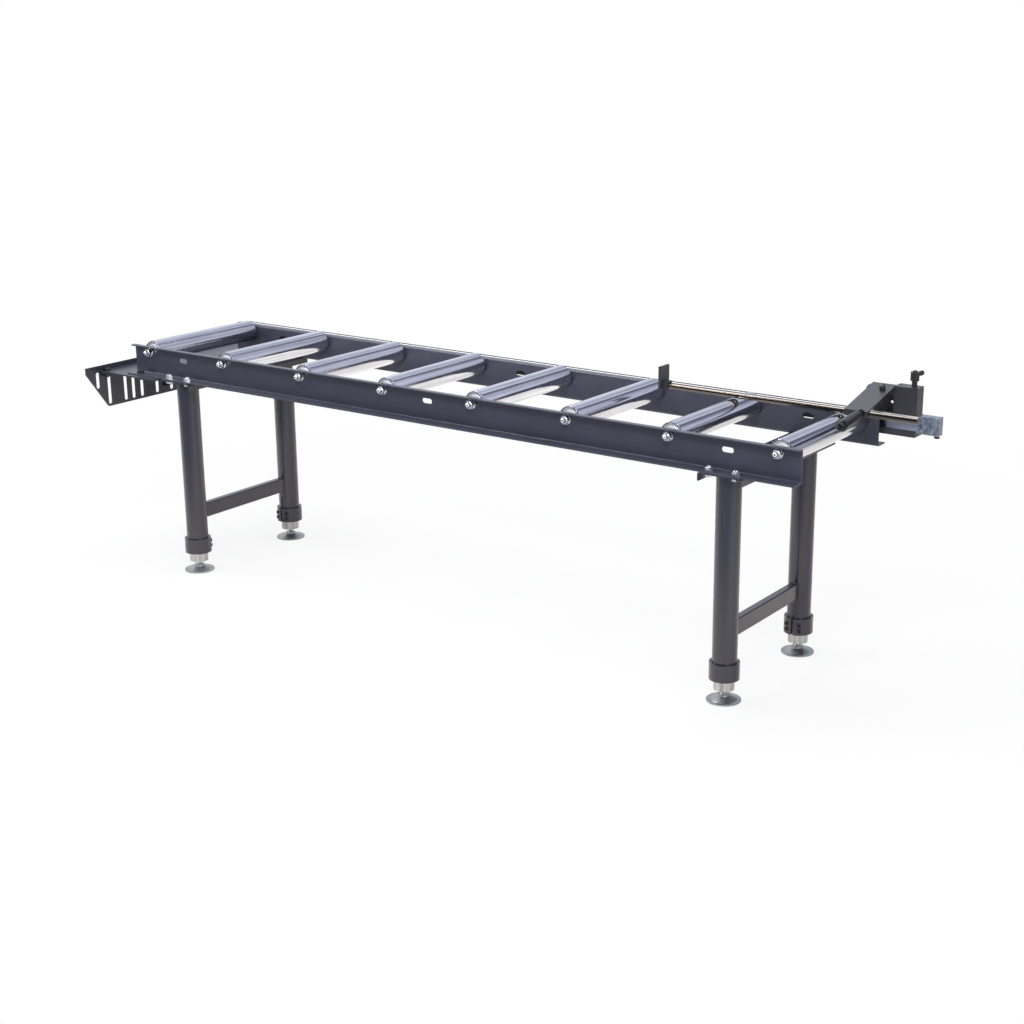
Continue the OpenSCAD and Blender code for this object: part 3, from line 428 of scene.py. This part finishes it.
# Black foot pushed onto the lower end of the end block's screw
screwFoot = metres({"radius": 6.5, "height": 4.0, "grip": 2.0, "round": 0.8, "inset": 4.0})
low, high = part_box("guide_screws")
blockLow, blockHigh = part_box("end_block")
radius = screwFoot["radius"]
curve = screwFoot["round"]
bottom = low[2] - (screwFoot["height"] - screwFoot["grip"])
top = low[2] + screwFoot["grip"]
profile = [(0, bottom), (radius - curve, bottom), (radius, bottom + curve)]
profile += [(radius, top - curve), (radius - curve, top), (0, top)]
place = (high[0] - screwFoot["inset"], (blockLow[1] + blockHigh[1]) / 2, 0)
bm = bmesh.new()
turned(bm, profile, place, segments=24)
addPiece("screwFoot", bm, "table", "black_screw")
print("small pieces done")

# Floor: the camera looks through most of it to the white world, and sees the shadow near the table.
# Painted reflection: metal alone sees a floor that is darker in front of the table, and other rays see a
# plain grey one.
floorLook = {"halfSize": 40, "rough": 0.8, "plain": (0.60, 0.60, 0.60, 1),
             "reflectionBack": (0.74, 0.70, 0.64, 1), "reflectionFront": (0.26, 0.28, 0.34, 1),
             "reflectionFrom": -0.45, "reflectionTo": -1.4, "fadeFrom": 0.9, "fadeTo": 2.2, "nearClear": 0.84}
floorMesh = bpy.data.meshes.new("floor")
bm = bmesh.new()
bmesh.ops.create_grid(bm, x_segments=1, y_segments=1, size=floorLook["halfSize"])
bm.to_mesh(floorMesh)
bm.free()
floor = bpy.data.objects.new("floor", floorMesh)
bpy.context.scene.collection.objects.link(floor)
floorMat = bpy.data.materials.new("floor")
floorMat.use_nodes = True
tree = floorMat.node_tree
floorShader = tree.nodes["Principled BSDF"]
floorShader.inputs["Roughness"].default_value = floorLook["rough"]
floorRays = tree.nodes.new("ShaderNodeLightPath")
floorPlace = tree.nodes.new("ShaderNodeTexCoord").outputs["Object"]
floorSplit = tree.nodes.new("ShaderNodeSeparateXYZ")
tree.links.new(floorPlace, floorSplit.inputs[0])
floorReach = tree.nodes.new("ShaderNodeVectorMath")
floorReach.operation = "LENGTH"
tree.links.new(floorPlace, floorReach.inputs[0])
# Painted reflection for glossy rays only: cream behind the table, dark blue-grey in front
inFront = mapRange(tree, floorSplit.outputs["Y"], floorLook["reflectionFrom"], floorLook["reflectionTo"],
                   curve="SMOOTHSTEP")
paintedFloorReflection = colorMix(tree, inFront, floorLook["reflectionBack"], floorLook["reflectionFront"])
floorTone = colorMix(tree, floorRays.outputs["Is Glossy Ray"], floorLook["plain"], paintedFloorReflection)
tree.links.new(floorTone, floorShader.inputs["Base Color"])
floorFade = mapRange(tree, floorReach.outputs["Value"], floorLook["fadeFrom"], floorLook["fadeTo"],
                     floorLook["nearClear"])
floorOpen = mathNode(tree, "MULTIPLY", floorFade, floorRays.outputs["Is Camera Ray"])
floorClear = tree.nodes.new("ShaderNodeBsdfTransparent")
floorMix = tree.nodes.new("ShaderNodeMixShader")
tree.links.new(floorOpen, floorMix.inputs[0])
tree.links.new(floorShader.outputs[0], floorMix.inputs[1])
tree.links.new(floorClear.outputs[0], floorMix.inputs[2])
tree.links.new(floorMix.outputs[0], tree.nodes["Material Output"].inputs["Surface"])
floorMesh.materials.append(floorMat)

# Sky that metal sees, painted reflections only: bands from left to right with a bright glint band and a
# dark shade band, dark in front and plain overhead.
# Camera and transmission rays see white, and other rays see plain light.
skyLook = {"bandScale": 0.7, "bandCentre": 0.5, "plain": (0.34, 0.35, 0.39, 1), "white": (1.0, 1.0, 1.0, 1)}
skyBands = {
    "low": (0.10, (0.86, 0.89, 0.96)),
    "left": (0.24, (0.66, 0.70, 0.82)),
    "middle": (0.42, (0.40, 0.44, 0.56)),
    "glint": (0.50, (0.98, 0.98, 1.0)),
    "shade": (0.58, (0.10, 0.11, 0.16)),
    "deep": (0.66, (0.16, 0.18, 0.25)),
    "lavender": (0.78, (0.52, 0.54, 0.68)),
    "right": (0.92, (0.62, 0.63, 0.72)),
}
skyZones = {
    "front": {"axis": "Y", "from": -0.1, "to": -0.5, "tone": (0.06, 0.07, 0.10, 1)},
    "overhead": {"axis": "Z", "from": 0.66, "to": 0.86, "tone": (0.34, 0.37, 0.46, 1)},
}
world = bpy.data.worlds.new("studio")
bpy.context.scene.world = world
world.use_nodes = True
tree = world.node_tree
background = tree.nodes["Background"]
rays = tree.nodes.new("ShaderNodeLightPath")
direction = tree.nodes.new("ShaderNodeSeparateXYZ")
tree.links.new(tree.nodes.new("ShaderNodeTexCoord").outputs["Generated"], direction.inputs[0])
bands = tree.nodes.new("ShaderNodeValToRGB")
bandSpread = mathNode(tree, "MULTIPLY", direction.outputs["X"], skyLook["bandScale"])
tree.links.new(mathNode(tree, "ADD", bandSpread, skyLook["bandCentre"]), bands.inputs["Fac"])
while len(bands.color_ramp.elements) < len(skyBands):
    bands.color_ramp.elements.new(0.5)
for element, (place, tone) in zip(bands.color_ramp.elements, skyBands.values()):
    element.position = place
    element.color = (*tone, 1)
sky = bands.outputs["Color"]
for zone in skyZones.values():
    share = mapRange(tree, direction.outputs[zone["axis"]], zone["from"], zone["to"], curve="SMOOTHSTEP")
    sky = colorMix(tree, share, sky, zone["tone"])
# Only glossy rays get the painted reflection bands, and other rays see plain light
unseen = colorMix(tree, rays.outputs["Is Glossy Ray"], skyLook["plain"], sky)
seen = mathNode(tree, "MAXIMUM", rays.outputs["Is Camera Ray"], rays.outputs["Is Transmission Ray"])
tree.links.new(colorMix(tree, seen, unseen, skyLook["white"]), background.inputs["Color"])
background.inputs["Strength"].default_value = 1.0


def softLight(name, place, target, size, watts, color=(1, 1, 1)):
    data = bpy.data.lights.new(name, "AREA")
    data.shape = "RECTANGLE"
    data.size, data.size_y = size
    data.energy = watts
    data.color = color
    light = bpy.data.objects.new(name, data)
    bpy.context.scene.collection.objects.link(light)
    light.location = place
    light.rotation_euler = (Vector(target) - Vector(place)).to_track_quat("-Z", "Y").to_euler()


lights = {
    "keyLight": {"place": (1.6, -2.4, 3.4), "target": (0, 0, 0.4), "size": (2.0, 1.0), "watts": 104},
    "topLight": {"place": (-0.4, 0.3, 3.2), "target": (0, 0, 0.4), "size": (3.6, 0.8), "watts": 95},
    "foldLight": {"place": (-1.7, -1.0, 3.0), "target": (0, -0.2, 0.55), "size": (3.2, 0.3), "watts": 46},
    "rightLight": {"place": (3.1, -1.7, 1.3), "target": (0.6, 0, 0.45), "size": (1.2, 1.2), "watts": 26},
    "leftLight": {"place": (-3.2, -1.4, 1.8), "target": (-0.4, 0, 0.4), "size": (1.6, 1.6), "watts": 40,
                  "color": (0.93, 0.95, 1.0)},
}
for name, settings in lights.items():
    softLight(name, **settings)

# Camera solved from the photo: turns in radians, place in metres, lens in pixels of the picture
photoCamera = {"yaw": 0.58415, "pitch": 0.29590, "roll": 0.0033, "place": (2.5587, -3.3603, 1.5236),
               "focal": 1743.7, "centreX": 595.92, "centreY": 520.49, "picture": 1024, "sensor": 36}
yaw = photoCamera["yaw"]
pitch = photoCamera["pitch"]
roll = photoCamera["roll"]
picture = photoCamera["picture"]
ahead = Vector((-math.sin(yaw) * math.cos(pitch), math.cos(yaw) * math.cos(pitch), -math.sin(pitch)))
level = Vector((math.cos(yaw), math.sin(yaw), 0))
lift = level.cross(ahead)
right = level * math.cos(roll) + lift * math.sin(roll)
upward = lift * math.cos(roll) - level * math.sin(roll)
camData = bpy.data.cameras.new("camera")
camData.sensor_width = photoCamera["sensor"]
camData.lens = photoCamera["focal"] / picture * photoCamera["sensor"]
camData.shift_x = -(photoCamera["centreX"] - picture / 2) / picture
camData.shift_y = (photoCamera["centreY"] - picture / 2) / picture
camera = bpy.data.objects.new("camera", camData)
bpy.context.scene.collection.objects.link(camera)
turn = Matrix((right, upward, -ahead)).transposed().to_4x4()
camera.matrix_world = Matrix.Translation(Vector(photoCamera["place"])) @ turn
bpy.context.scene.camera = camera
bpy.context.scene.view_settings.view_transform = "Standard"
print("stage done")
